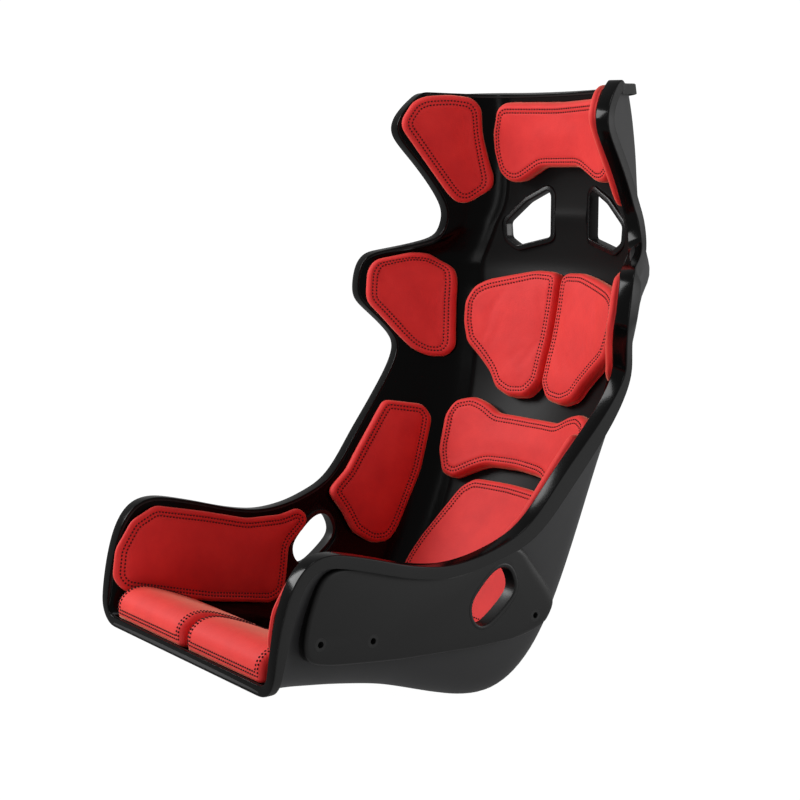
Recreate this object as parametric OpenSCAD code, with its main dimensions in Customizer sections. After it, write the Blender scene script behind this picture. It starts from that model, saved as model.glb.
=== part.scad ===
// Fixed-back racing seat: a one-piece laminated bucket with a rolled rim,
// moulded side mounting panels with threaded inserts, harness, lap and crotch
// strap openings with trim rings, and separate leather pads held on by
// hook-and-loop.
// Units are millimetres. Origin: centre of the bounding box in plan, at its
// lowest point. X is across the seat (+X is the occupant's left), the
// occupant faces -Y, Z is up.

/* [Shell] */
// Distance from the working origin to the middle of the seat, front to back
plan_shift = 8; // [-30:0.5:30]
// Height of the lowest point of the hull in working coordinates
base_level = 71; // [50:0.5:90]
// Thickness of the inner laminate
inner_skin = 4; // [2:0.5:6]
// Thickness of the outer shell behind it
outer_skin = 4.5; // [2:0.5:8]

/* [Rim] */
// Width of the rim flange, measured out from the wall
rim_width = 19.5; // [15:0.5:30]
// Thickness of the rim flange
rim_thickness = 5; // [3:0.5:8]

/* [Side mounts] */
// Distance between the two mounting faces
mount_width = 417; // [400:1:440]
// Radius of the threaded bore of a mounting insert
insert_bore_r = 4; // [3:0.5:6]
// Outer radius of a mounting insert
insert_r = 8; // [6:0.5:12]
// Length of a mounting insert
insert_length = 10; // [8:0.5:16]

/* [Pads] */
// Thickness of the pads on the back
pad_thickness = 21; // [12:0.5:30]
// How much thicker the pad behind the head is
head_extra = 3; // [0:0.5:8]
// Thickness of the pads beside the head and shoulders
wing_pad = 12; // [8:0.5:30]
// Thickness of the hip pads
hip_pad = 14; // [8:0.5:30]
// Thickness of the pads beside the thighs
thigh_pad = 8; // [6:0.5:30]
// Thickness of the leg cushions
leg_thickness = 45; // [20:0.5:60]

/* [Hidden] */
pad_gap = 2.7;        // pads stand this far off the laminate, on their hook-and-loop
pad_round = 9;        // radius of a pad's face edge
leg_round = 16;       // radius of a leg cushion's face edge
slot_wall = 6;        // wall of a lap slot trim
harness_wall = 9;     // wall of a harness trim
ply_gap = 0.02;       // bond line between the two laminates
fit_gap = 0.05;       // clearance round moulded-in pieces
leather_red = [0.75, 0.1, 0.09];
leather_deep = [0.6, 0.02, 0.04];
fabric_black = [0.02, 0.02, 0.02];
trim_black = [0.04, 0.04, 0.04];

// ---------------------------------------------------------------- surface
// One row per cross section, from the top edge of the back round to the front
// lip: crease between back and side wall (y, z), half width there, corner
// radius, dish of the middle, top of the side wall (x, y, z), rim skirt depth.
K = [
 [280,868, 134,34,22, 191,192,872, 14],
 [282,855, 136,34,22, 194,181,863, 14],
 [285,835, 139,34,23, 202,162,842, 14],
 [287,818, 141,34,23, 206,154,822, 14],
 [288,800, 143,34,24, 205,158,803, 14],
 [289,772, 146,34,25, 196,187,770, 14],
 [290,735, 148,36,26, 187,216,731, 14],
 [289,714, 152,38,27, 183,230,706, 14],
 [287,699, 156,38,29, 185,236,690, 14],
 [284,686, 161,38,32, 190,235,671, 14],
 [281,676, 166,38,35, 197,228,657, 16],
 [278,664, 173,40,39, 213,211,649, 18],
 [274,645, 183,42,43, 238,180,641, 20],
 [271,626, 193,42,47, 258,152,634, 20],
 [266,610, 194,42,49, 269,140,623, 20],
 [260,592, 186,42,50, 273,133,603, 20],
 [257,570, 184,42,50, 273,130,579, 20],
 [254,551, 183,42,49, 269,131,562, 20],
 [250,528, 181,42,48, 250,149,538, 16],
 [245,505, 180,42,47, 234,167,513, 15],
 [241,488, 178,42,45, 226,173,493, 17],
 [235,457, 174,42,42, 222,159,465, 21],
 [226,422, 170,42,38, 219,138,437, 24],
 [212,378, 166,42,34, 214,110,404, 27],
 [197,330, 163,42,30, 210,80,370, 28],
 [180,280, 161,42,26, 206,52,334, 26],
 [158,226, 161,42,22, 203,28,311, 23],
 [127,166, 163,42,18, 201,6,299, 19],
 [92,121, 166,42,12, 200,-17,291, 17],
 [56,95, 168,42,8, 198,-42,284, 16],
 [20,85, 169,42,6, 197,-70,280, 16],
 [-20,90, 170,42,5, 196,-100,279, 16],
 [-60,102, 170,42,5, 195,-130,284, 16],
 [-100,116, 171,42,5, 196,-160,291, 16],
 [-145,131, 172,42,5, 196,-195,302, 16],
 [-190,141, 174,42,5, 195,-228,311, 16],
 [-230,149, 176,42,5, 195,-256,318, 16],
 [-265,155, 178,40,5, 195,-277,319, 16],
 [-290,160, 180,36,4, 195,-295,314, 16],
 [-310,163, 182,32,3, 195,-309,303, 16],
 [-322,165, 184,28,2, 195,-321,285, 16],
 [-330,166, 186,24,2, 195,-330,262, 16],
 [-336,167, 187,20,1, 195,-337,235, 16],
 [-341,168, 188,16,0.5, 195,-342,208, 15],
 [-345,169, 189,12,0, 195,-345,184, 12],
];
LAST = len(K) - 1;
UC = 0.45;   // end of the dished middle
UF = 0.68;   // end of the corner, start of the straight wall

function unit(v) = v / norm(v);
function st(t) = let(i = min(max(floor(t), 0), LAST - 1), f = t - i) K[i] * (1 - f) + K[i + 1] * f;
function vd(k) = norm([k[6] - k[0], k[7] - k[1]]);
function dish(k, x) = -k[4] * (1 - pow(x / k[2], 2));
function b0(k) = [k[2] - k[3], dish(k, k[2] - k[3])];
function b1(k) = [k[2], -k[4] * pow(k[3] / k[2], 2)];
function top(k) = [k[5], vd(k)];
function ev(k) = unit(top(k) - b1(k));
function b2(k) = b1(k) + ev(k) * min(k[3], 0.6 * norm(top(k) - b1(k)));
// point of a section at u (0 centre line, 1 top of the wall), cut short by c
function sec(k, u, c = 0) =
  u <= UC ? let(x = (k[2] - k[3]) * u / UC) [x, dish(k, x)] :
  u <= UF ? let(s = (u - UC) / (UF - UC), r = 1 - s) b0(k) * r * r + b1(k) * 2 * r * s + b2(k) * s * s :
  let(s = (u - UF) / (1 - UF)) b2(k) * (1 - s) + (top(k) - ev(k) * c) * s;
function place(k, p) =
  let(V = vd(k)) [p[0], k[0] + (k[6] - k[0]) / V * p[1], k[1] + (k[7] - k[1]) / V * p[1]];
function S(t, u, c = 0) =
  let(k = st(t), q = place(k, sec(k, abs(u), c))) [u < 0 ? -q[0] : q[0], q[1], q[2]];
// outward normal, away from the occupant
function nrm(t, u) =
  let(a = abs(u), e = 0.03, f = 0.6,
      du = S(t, min(1, a + e)) - (a < e ? let(q = S(t, e)) [-q[0], q[1], q[2]] : S(t, a - e)),
      dt = S(min(LAST, t + f), a) - S(max(0, t - f), a),
      n = unit(cross(du, dt))) [u < 0 ? -n[0] : n[0], n[1], n[2]];
function off(t, u, h, c = 0) = S(t, u, c) + nrm(t, u) * h;

// inverse of the section curve: u for a given x (middle and corner) or height v
// share s of the rounded corner where its coordinate reaches w
function bend(p, q, r, w) =
  let(A = p - 2 * q + r, B = 2 * (q - p), C = p - w)
  abs(A) < 0.0001 ? -C / B : (-B + sqrt(max(0, B * B - 4 * A * C))) / (2 * A);
function ux(k, x) = x <= k[2] - k[3] ? UC * x / (k[2] - k[3]) :
  UC + (UF - UC) * bend(b0(k)[0], b1(k)[0], b2(k)[0], min(x, b2(k)[0] - 0.001));
function uv(k, v) =
  v <= b0(k)[1] ? UC * k[2] * sqrt(max(0, 1 + v / k[4])) / (k[2] - k[3]) :
  v < b2(k)[1] ? UC + (UF - UC) * bend(b0(k)[1], b1(k)[1], b2(k)[1], v) :
  UF + (1 - UF) * (v - b2(k)[1]) / (vd(k) - b2(k)[1]);
// station found by bisection: "back" by height, "pan" by depth, "wall" by side view
function g_back(t, q) = let(k = st(t)) place(k, sec(k, ux(k, abs(q[0]))))[2] - q[1];
function g_pan(t, q) = let(k = st(t)) place(k, sec(k, ux(k, abs(q[0]))))[1] - q[1];
function g_wall(t, q) =
  let(k = st(t)) (k[6] - k[0]) * (q[1] - k[1]) - (k[7] - k[1]) * (q[0] - k[0]);
function g(kind, t, q) =
  kind == "back" ? g_back(t, q) : kind == "pan" ? g_pan(t, q) : g_wall(t, q);
PAN_START = 28;     // station where the seat pan starts
BACK_END = 29.6;    // station where the back has turned into the pan
HALVINGS = 13;
function solve(kind, q, a, b, n) = n == 0 ? (a + b) / 2 :
  let(m = (a + b) / 2)
  g(kind, m, q) > 0 ? solve(kind, q, m, b, n - 1) : solve(kind, q, a, m, n - 1);
function wall_v(k, q) = ((q[0] - k[0]) * (k[6] - k[0]) + (q[1] - k[1]) * (k[7] - k[1])) / vd(k);
function tu(kind, q, side) =
  let(t = solve(kind, q, kind == "pan" ? PAN_START : 0, kind == "back" ? BACK_END : LAST, HALVINGS),
      k = st(t))
  kind == "wall" ? [t, side * uv(k, wall_v(k, q))] : [t, (q[0] < 0 ? -1 : 1) * ux(k, abs(q[0]))];
// point at height h above the inner surface (towards the occupant)
function lay(kind, q, side, h) =
  let(p = tu(kind, q, side))
  kind == "pan" ? S(p[0], p[1]) - nrm(p[0], 0) * h : off(p[0], p[1], -h);

// ---------------------------------------------------------------- rim path
// Closed path round the edge: down the left wall, along the front lip, up the
// right wall and across the top: [point, flange direction, skirt depth, width]
UL = [0.9, 0.72, 0.6, 0.5, 0.3, 0, -0.3, -0.5, -0.6, -0.72, -0.9];
UT = [-0.85, -0.7, -0.6, -0.5, -0.3, -0.15, 0, 0.15, 0.3, 0.5, 0.6, 0.7, 0.85];
// the flange stands out mostly sideways, leaning a little with the wall
FLANGE_LEAN = 0.45;
NARROWS_AT = 38;      // station where the flange starts to narrow towards the front
NARROWING = 0.75;     // by this much at each station
LIP_SKIRT = 12;
LIP_WIDTH = 13;
TOP_SKIRT = 14;
function flange_dir(k) =
  let(e = ev(k) * FLANGE_LEAN, V = vd(k))
  unit([1 + e[1], -e[0] * (k[6] - k[0]) / V, -e[0] * (k[7] - k[1]) / V]);
function flange_w(i) = rim_width - max(0, i - NARROWS_AT) * NARROWING;
// the lip's flange points down, and turns outward at the two front corners
function lip_dir(u) =
  unit([abs(u) > 0.7 ? sign(u) : abs(u) > 0.5 ? sign(u) * 0.5 : 0, 0, abs(u) > 0.8 ? -0.25 : -1]);
function neg(v) = [-v[0], v[1], v[2]];
LOOP = concat(
  [for (i = [0 : LAST]) [S(i, 1), flange_dir(K[i]), K[i][8], flange_w(i)]],
  [for (u = UL) [S(LAST, u), lip_dir(u), LIP_SKIRT, LIP_WIDTH]],
  [for (i = [LAST : -1 : 0]) [neg(S(i, 1)), neg(flange_dir(K[i])), K[i][8], flange_w(i)]],
  [for (u = UT) [S(0, u), nrm(0, u), TOP_SKIRT, rim_width]]);
NL = len(LOOP);
function before(i) = (i + NL - 1) % NL;
RT = [for (i = [0 : NL - 1]) unit(LOOP[(i + 1) % NL][0] - LOOP[i][0])];
RN = [for (i = [0 : NL - 1])
  let(t = unit(RT[i] + RT[before(i)]), v = LOOP[i][1]) unit(v - t * (v * t))];
// direction from the edge into the wall, lengthened at corners to keep depth
RE = [for (i = [0 : NL - 1])
  let(a = unit(cross(RN[i], RT[before(i)])), b = unit(cross(RN[i], RT[i])))
  (a + b) / max(0.6, 1 + a * b)];
// edge of the skins just under the flange, at station i on the side of u
function edge(i, u, c) = let(q = LOOP[i][0] + RE[i] * c) u < 0 ? neg(q) : q;

// ---------------------------------------------------------------- helpers
UG = [-1, -0.893, -0.787, -0.68, -0.6225, -0.565, -0.5075, -0.45, -0.3, -0.15, 0,
      0.15, 0.3, 0.45, 0.5075, 0.565, 0.6225, 0.68, 0.787, 0.893, 1];
TG = [0.4, for (i = [1 : LAST - 1]) i];
function quad(a, b, c, d) = [[a, b, c], [a, c, d]];
// wall point with the upper part moved so that its edge tucks under the flange
function tucked(t, u, cut) =
  S(t, u) + (edge(t, u, cut) - S(t, sign(u))) * (abs(u) - UF) / (1 - UF);
// closed skin between two offsets of the surface
module skin(h0, h1, cut) {
  n = len(TG);
  m = len(UG);
  P = [for (h = [h0, h1]) for (t = TG) for (u = UG)
    abs(u) > UF && t > 1 && cut > 0 ? tucked(t, u, cut) + nrm(t, u) * h : off(t, u, h, cut)];
  function id(s, i, j) = s * n * m + i * m + j;
  // a face of the grid from cell (i, j), and the two kinds of border strip
  function cell(s, i, j) = s == 0 ?
    quad(id(0, i, j), id(0, i + 1, j), id(0, i + 1, j + 1), id(0, i, j + 1)) :
    quad(id(1, i, j), id(1, i, j + 1), id(1, i + 1, j + 1), id(1, i + 1, j));
  function low_u(i) = quad(id(0, i, 0), id(1, i, 0), id(1, i + 1, 0), id(0, i + 1, 0));
  function high_u(i) = let(j = m - 1) quad(id(0, i, j), id(0, i + 1, j), id(1, i + 1, j), id(1, i, j));
  function low_t(j) = quad(id(0, 0, j), id(0, 0, j + 1), id(1, 0, j + 1), id(1, 0, j));
  function high_t(j) = let(i = n - 1) quad(id(0, i, j), id(1, i, j), id(1, i, j + 1), id(0, i, j + 1));
  F = concat(
    [for (s = [0, 1]) for (i = [0 : n - 2]) for (j = [0 : m - 2]) each cell(s, i, j)],
    [for (i = [0 : n - 2]) each low_u(i)],
    [for (i = [0 : n - 2]) each high_u(i)],
    [for (j = [0 : m - 2]) each low_t(j)],
    [for (j = [0 : m - 2]) each high_t(j)]);
  polyhedron(P, [for (f = F) [f[0], f[2], f[1]]]);
}
// 2-D outline tools: corner cutting and moving every edge inward by d
CORNER_CUT = 9;
function cut_share(a, b) = min(0.25, CORNER_CUT / norm(b - a));
function cutc(p) = let(n = len(p)) [for (i = [0 : n - 1])
  let(a = p[i], b = p[(i + 1) % n], d = cut_share(a, b)) each [a + (b - a) * d, b + (a - b) * d]];
function turn(a, b) = a[0] * b[1] - b[0] * a[1];
function area(p) =
  let(n = len(p)) 0.5 * [for (i = [0 : n - 1]) turn(p[i], p[(i + 1) % n])] * [for (q = p) 1];
function ccw(p) = area(p) > 0 ? p : [for (i = [len(p) - 1 : -1 : 0]) p[i]];
function inset(p, d) = let(n = len(p)) [for (i = [0 : n - 1])
  let(a = unit(p[i] - p[(i + n - 1) % n]), b = unit(p[(i + 1) % n] - p[i]),
      na = [-a[1], a[0]], nb = [-b[1], b[0]]) p[i] + (na + nb) * d / (1 + na * nb)];
function mean(p) = [for (q = p) 1] * p / len(p);
function shrink(p, f) = let(c = mean(p)) [for (q = p) c + (q - c) * f];
// whole outline from its right-hand half, listed from the centre line round to it
function whole(h) = concat(h, [for (i = [len(h) - 1 : -1 : 0]) if (h[i][0] > 0) [-h[i][0], h[i][1]]]);
// closed solid laid on the surface: rings is a list of [outline, height]
module laid(kind, side, rings) {
  n = len(rings[0][0]);
  m = len(rings);
  c = mean(rings[0][0]);
  function band(k, i) =
    let(j = (i + 1) % n) quad(k * n + i, k * n + j, (k + 1) * n + j, (k + 1) * n + i);
  P = concat([for (r = rings) for (q = r[0]) lay(kind, q, side, r[1])],
             [lay(kind, c, side, rings[0][1]), lay(kind, c, side, rings[m - 1][1])]);
  F = concat(
    [for (k = [0 : m - 2]) for (i = [0 : n - 1]) each band(k, i)],
    [for (i = [0 : n - 1]) [n * m, (i + 1) % n, i]],
    [for (i = [0 : n - 1]) [n * m + 1, (m - 1) * n + i, (m - 1) * n + (i + 1) % n]]);
  // the wall and back maps turn the outline opposite ways round
  flipped = kind == "wall" && side > 0;
  polyhedron(P, flipped ? F : [for (f = F) [f[0], f[2], f[1]]]);
}
module pad(kind, o, th, r = pad_round) {
  p = ccw(cutc(o));
  foot = inset(p, 1.5);
  face = inset(p, r);
  laid(kind, 1, [[shrink(foot, 0.5), pad_gap], [foot, pad_gap],
    [p, pad_gap + th * 0.25], [p, pad_gap + th * 0.6], [inset(p, r / 3), pad_gap + th * 0.87],
    [face, pad_gap + th], [shrink(face, 0.5), pad_gap + th]]);
}
module backing(kind, o) {
  p = inset(ccw(cutc(o)), 4);
  laid(kind, 1, [[shrink(p, 0.5), 1.6], [p, 1.6], [p, 2.6], [shrink(p, 0.5), 2.6]]);
}
module patch(kind, c, w = 44) {
  p = ccw([for (i = [-1 : 2 : 1]) for (j = [-1 : 1 : 1]) c + [i * w / 2, i * j * w / 2]]);
  laid(kind, 1, [[shrink(p, 0.5), 0.5], [p, 0.5], [p, 1.5], [shrink(p, 0.5), 1.5]]);
}
module seat() { translate([0, plan_shift, -base_level]) children(); }
module both(side) {
  if (side < 0) mirror([1, 0, 0]) children();
  else children();
}

// ---------------------------------------------------------------- outlines
// pad outlines: wall pads in (y, z), back pads in (x, z), cushions in (x, y)
o_head_side = [
  [192, 864], [226, 867], [254, 864], [267, 850], [272, 813], [290, 746], [288, 729], [262, 710],
  [244, 710], [231, 722], [160, 818], [160, 832], [175, 856]];
o_shoulder = [
  [144, 606], [154, 624], [201, 637], [226, 634], [257, 608], [257, 594], [243, 490], [231, 475],
  [208, 475], [189, 486], [141, 556], [140, 568]];
o_hip = [
  [130, 413], [186, 405], [196, 386], [168, 307], [122, 224], [106, 208], [78, 208], [50, 227],
  [35, 260], [18, 286], [22, 296], [51, 318], [78, 352], [116, 398]];
o_thigh = [
  [-337, 218], [-331, 258], [-308, 293], [-273, 309], [-200, 291], [-128, 271], [-70, 268],
  [-40, 274], [-24, 262], [-28, 246], [-61, 222], [-68, 190], [-78, 156], [-102, 147],
  [-200, 165], [-310, 196], [-326, 201]];
o_head_rear = whole([
  [0, 762], [40, 762], [82, 740], [103, 740], [122, 754], [132, 786], [133, 814], [121, 850],
  [106, 858], [0, 855]]);
o_upper = [
  [3, 598], [13, 607], [50, 608], [135, 591], [156, 581], [167, 560], [164, 527], [153, 497],
  [124, 474], [102, 454], [86, 432], [58, 421], [23, 424], [3, 446]];
o_lumbar = whole([
  [0, 396], [66, 397], [92, 410], [117, 417], [148, 410], [158, 390], [153, 336], [137, 303],
  [113, 297], [81, 313], [60, 321], [0, 323]]);
o_lower = whole([
  [0, 303], [72, 302], [94, 288], [136, 212], [146, 184], [146, 150], [138, 124], [118, 112],
  [0, 112]]);
o_leg = [
  [6, -341], [175, -341], [175, -330], [168, -318], [165, -232], [152, -218], [20, -218], [8, -230]];
// harness opening, seen from the front about its own centre
harness_at = [80, 308, 687];
harness_turn = 10.9;
o_harness = [[-40, 35], [-34, 41], [4, 23], [41, -7], [39, -30], [20, -41], [-40, -27]];
// lap belt slot in side view
o_slot = [
  [12, 260], [20, 247], [26, 228], [8, 210], [-25, 187], [-42, 193], [-50, 211], [-47, 227],
  [-18, 254], [-4, 261]];
// mounting panel in side view, and its three insert positions
o_panel = [
  [-295, 192], [-262, 183], [-162, 171], [-42, 163], [34, 162], [78, 171], [92, 190], [95, 203],
  [84, 224], [32, 288], [-20, 272], [-75, 262], [-126, 270], [-207, 294], [-250, 300],
  [-276, 292], [-294, 250], [-302, 214]];
inserts = [[-279,213],[-203,203],[59,188]];

// ---------------------------------------------------------------- cutters
module yz_prism(o, x0, x1) {
  translate([x0, 0, 0]) rotate([90, 0, 90]) linear_extrude(x1 - x0) polygon(o);
}
// flat prism at a harness opening; +z of the prism points at the occupant
module harness_place() {
  translate(harness_at) rotate([0, 0, -harness_turn]) rotate([90, 0, 0]) children();
}
crotch_at = [0, -150, 127.2];
crotch_slope = 13;
crotch_length = 94;
crotch_width = 44;
crotch_wall = 7;
module crotch_place() {
  translate(crotch_at) rotate([-crotch_slope, 0, 0]) children();
}
module stadium(l, w, h) {
  linear_extrude(h) union() {
    square([l - w, w], center = true);
    for (s = [-1, 1]) translate([s * (l - w) / 2, 0]) circle(d = w, $fn = 32);
  }
}
// the crotch opening grown by g all round
module crotch_prism(g, z, h) {
  crotch_place() translate([0, 0, z]) stadium(crotch_length + 2 * g, crotch_width + 2 * g, h);
}
module slot_cutter() {
  yz_prism(inset(ccw(o_slot), -slot_wall - fit_gap), 120, 240);
}
module cutters() {
  for (s = [1, -1]) both(s) {
    harness_place() translate([0, 0, -30]) linear_extrude(60)
      polygon(inset(ccw(o_harness), -harness_wall - fit_gap));
    slot_cutter();
  }
  crotch_prism(crotch_wall + fit_gap, -40, 80);
}

// ---------------------------------------------------------------- sub-parts
// skin with its openings; the null resize makes one evaluated solid of it
module opened_skin(h0, h1) {
  resize([0, 0, 0]) difference() {
    skin(h0, h1, rim_thickness + 0.2);
    cutters();
  }
}
// inner laminate, the surface the pads sit on
module inner_shell() color([0.05, 0.05, 0.05]) seat() opened_skin(0, inner_skin);
// outer shell behind it
module outer_shell() color([0.09, 0.09, 0.09]) seat()
  opened_skin(inner_skin + ply_gap, inner_skin + outer_skin);

// rolled rim: flange and down-turned skirt swept round the whole edge
SKIRT_WALL = 4;
module rim_band() {
  th = rim_thickness;
  function prof(h, w) = let(v = w - SKIRT_WALL)
    [[-0.5, 1.5], [1, 0], [w - 3, 0], [w, 2.5], [w, h], [v, h], [v, th], [-0.5, th]];
  m = 8;
  function corner(i, j) = (i % NL) * m + j % m;
  P = [for (i = [0 : NL - 1]) for (p = prof(LOOP[i][2], LOOP[i][3]))
    LOOP[i][0] + RN[i] * p[0] + RE[i] * p[1]];
  F = [for (i = [0 : NL - 1]) for (j = [0 : m - 1])
    each quad(corner(i, j), corner(i, j + 1), corner(i + 1, j + 1), corner(i + 1, j))];
  color([0.03, 0.03, 0.03]) seat() polyhedron(P, F);
}

// flat mounting panel moulded on the side, filled in against the outer shell;
// the holes for its inserts go right through it
module side_panel(s) color([0.08, 0.08, 0.08]) seat() both(s) resize([0, 0, 0]) difference() {
  union() {
    yz_prism(ccw(o_panel), 170, mount_width / 2 - 2);
    yz_prism(inset(ccw(o_panel), 2.5), 171, mount_width / 2);
  }
  skin(-30, inner_skin + outer_skin + fit_gap, -30);
  slot_cutter();
  for (p = inserts) translate([170, p[0], p[1]])
    rotate([0, 90, 0]) cylinder(r = insert_r + fit_gap, h = 60, $fn = 48);
}
module side_mount_panel_left() side_panel(1);
module side_mount_panel_right() side_panel(-1);
// threaded inserts, three a side, flush with the panel
module insert() difference() {
  cylinder(r = insert_r, h = insert_length, $fn = 48);
  translate([0, 0, -1]) cylinder(r = insert_bore_r, h = insert_length + 2, $fn = 48);
}
module mount_inserts() color([0.12, 0.12, 0.12]) seat() for (s = [1, -1]) both(s)
  for (p = inserts) translate([mount_width / 2 - insert_length, p[0], p[1]])
    rotate([0, 90, 0]) insert();

module harness_trim(s) color(trim_black) seat() both(s)
  harness_place() translate([0, 0, -12]) difference() {
    linear_extrude(16.5) polygon(inset(ccw(o_harness), -harness_wall));
    translate([0, 0, -1]) linear_extrude(18.5) polygon(ccw(o_harness));
  }
module harness_slot_trim_left() harness_trim(1);
module harness_slot_trim_right() harness_trim(-1);
module slot_trim(s) color(trim_black) seat() both(s) difference() {
  yz_prism(inset(ccw(o_slot), -slot_wall), 186, mount_width / 2 + 1.5);
  yz_prism(ccw(o_slot), 180, mount_width / 2 + 4);
}
module lap_belt_slot_trim_left() slot_trim(1);
module lap_belt_slot_trim_right() slot_trim(-1);
module crotch_slot_trim() color(trim_black) seat() difference() {
  crotch_prism(crotch_wall, -12, 14.5);
  crotch_prism(0, -13, 17);
}

// pads: the right-hand ones mirror the left
module red_pad(kind, s, o, th) color(leather_red) seat() both(s) pad(kind, o, th);
module deep_pad(s, o, th) color(leather_deep) seat() both(s) pad("wall", o, th);
module cushion(s) color(leather_red) seat() both(s) pad("pan", o_leg, leg_thickness, leg_round);
module head_rear_pad() red_pad("back", 1, o_head_rear, pad_thickness + head_extra);
module head_side_pad_left() red_pad("wall", 1, o_head_side, wing_pad);
module head_side_pad_right() red_pad("wall", -1, o_head_side, wing_pad);
module shoulder_pad_left() red_pad("wall", 1, o_shoulder, wing_pad);
module shoulder_pad_right() red_pad("wall", -1, o_shoulder, wing_pad);
module upper_back_pad_left() red_pad("back", 1, o_upper, pad_thickness);
module upper_back_pad_right() red_pad("back", -1, o_upper, pad_thickness);
module lumbar_pad() red_pad("back", 1, o_lumbar, pad_thickness);
module lower_back_pad() red_pad("back", 1, o_lower, pad_thickness);
module hip_pad_left() deep_pad(1, o_hip, hip_pad);
module hip_pad_right() deep_pad(-1, o_hip, hip_pad);
module thigh_pad_left() deep_pad(1, o_thigh, thigh_pad);
module thigh_pad_right() deep_pad(-1, o_thigh, thigh_pad);
module leg_cushion_left() cushion(1);
module leg_cushion_right() cushion(-1);

// loop-fabric backing sewn under each pad
module loop_back(kind, s, o) color(fabric_black) seat() both(s) backing(kind, o);
module head_rear_backing() loop_back("back", 1, o_head_rear);
module head_side_backing_left() loop_back("wall", 1, o_head_side);
module head_side_backing_right() loop_back("wall", -1, o_head_side);
module shoulder_backing_left() loop_back("wall", 1, o_shoulder);
module shoulder_backing_right() loop_back("wall", -1, o_shoulder);
module upper_back_backing_left() loop_back("back", 1, o_upper);
module upper_back_backing_right() loop_back("back", -1, o_upper);
module lumbar_backing() loop_back("back", 1, o_lumbar);
module lower_back_backing() loop_back("back", 1, o_lower);
module hip_backing_left() loop_back("wall", 1, o_hip);
module hip_backing_right() loop_back("wall", -1, o_hip);
module thigh_backing_left() loop_back("wall", 1, o_thigh);
module thigh_backing_right() loop_back("wall", -1, o_thigh);
module leg_backing_left() loop_back("pan", 1, o_leg);
module leg_backing_right() loop_back("pan", -1, o_leg);

// hook patches glued to the inner laminate, all the same size
module hook_patches() color(fabric_black) seat() {
  for (x = [-75, 75]) patch("back", [x, 805]);
  for (x = [-105, 105]) patch("back", [x, 360]);
  for (x = [-60, 60]) patch("back", [x, 250]);
  for (s = [1, -1]) both(s) {
    patch("wall", [230, 820]);
    patch("wall", [205, 570]);
    patch("back", [80, 550]);
    patch("wall", [122, 320]);
    patch("wall", [-270, 240]);
    patch("wall", [-140, 220]);
    patch("pan", [90, -290]);
  }
}

inner_shell();
outer_shell();
rim_band();
side_mount_panel_left();
side_mount_panel_right();
mount_inserts();
harness_slot_trim_left();
harness_slot_trim_right();
lap_belt_slot_trim_left();
lap_belt_slot_trim_right();
crotch_slot_trim();
hook_patches();
head_rear_pad();
head_side_pad_left();
head_side_pad_right();
shoulder_pad_left();
shoulder_pad_right();
upper_back_pad_left();
upper_back_pad_right();
lumbar_pad();
lower_back_pad();
hip_pad_left();
hip_pad_right();
thigh_pad_left();
thigh_pad_right();
leg_cushion_left();
leg_cushion_right();
head_rear_backing();
head_side_backing_left();
head_side_backing_right();
shoulder_backing_left();
shoulder_backing_right();
upper_back_backing_left();
upper_back_backing_right();
lumbar_backing();
lower_back_backing();
hip_backing_left();
hip_backing_right();
thigh_backing_left();
thigh_backing_right();
leg_backing_left();
leg_backing_right();
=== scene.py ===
"""Fixed-back racing seat: laminated bucket, rolled rim and hook-and-loop leather pads.

Lengths are in millimetres in the making functions and turned into metres when a mesh is made.
"""
import math

import bmesh
import bpy
import numpy as np
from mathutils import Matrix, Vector
from mathutils.geometry import delaunay_2d_cdt


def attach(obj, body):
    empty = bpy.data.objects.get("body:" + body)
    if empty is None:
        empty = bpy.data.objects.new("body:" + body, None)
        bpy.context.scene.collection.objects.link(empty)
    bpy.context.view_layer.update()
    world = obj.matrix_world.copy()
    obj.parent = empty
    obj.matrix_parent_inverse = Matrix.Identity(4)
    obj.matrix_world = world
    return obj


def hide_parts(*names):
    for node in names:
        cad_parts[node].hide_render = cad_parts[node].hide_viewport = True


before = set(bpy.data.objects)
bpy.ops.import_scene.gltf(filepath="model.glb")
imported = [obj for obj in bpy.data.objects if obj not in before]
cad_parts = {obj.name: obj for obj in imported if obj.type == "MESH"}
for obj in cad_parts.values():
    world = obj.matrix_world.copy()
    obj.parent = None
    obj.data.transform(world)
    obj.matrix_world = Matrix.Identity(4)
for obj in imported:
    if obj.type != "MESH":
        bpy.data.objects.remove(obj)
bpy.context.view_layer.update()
MM = 0.001

# ---------------------------------------------------------------- driving dimensions
PLAN_SHIFT = 8.0        # working origin to the middle of the seat, front to back
BASE_LEVEL = 71.0       # height of the lowest point of the hull in working coordinates
INNER_SKIN = 4.0
OUTER_SKIN = 4.5
RIM_WIDTH = 19.5
RIM_THICKNESS = 5.0
RIM_STEP = 3.0          # spacing of the rim's cross sections
RIM_OVERLAP = 0.6       # how far the wall tops reach into the flange
MOUNT_WIDTH = 417.0
INSERT_R = 8.0
INSERT_LENGTH = 10.0
HARNESS_HOLE = 8.5      # how far the laminate is cut outside each opening's outline
SLOT_HOLE = 5.5
CROTCH_HOLE = 6.5
BOLSTER_STEP = 3.0      # side bolsters stand this proud of the back panel
CREASE_AT = 0.458       # where along a section that step starts
CREASE_WIDTH = 0.02
PAD_GAP = 2.7           # loop backing and hook strip between shell and pad
PAD_THICKNESS = 21.0
HEAD_EXTRA = 3.0        # the pad behind the head is this much thicker
LEG_THICKNESS = 45.0
WING_PAD = 12.0
HIP_PAD = 14.0
THIGH_PAD = 8.0
STITCH_ROWS = (8.0, 13.0)   # distance of the two stitch rows from a pad's outline
STITCH_PITCH = 4.9
STITCH_LENGTH = 3.0
STITCH_R = 1.1
STITCH_DIP = 0.9            # the leather is drawn in this much along a stitch row
PAD_ROLL = 8.0              # width of the rolled edge of a pad
PAD_CROWN = 2.0             # rise of a pad's middle over its seams
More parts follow.
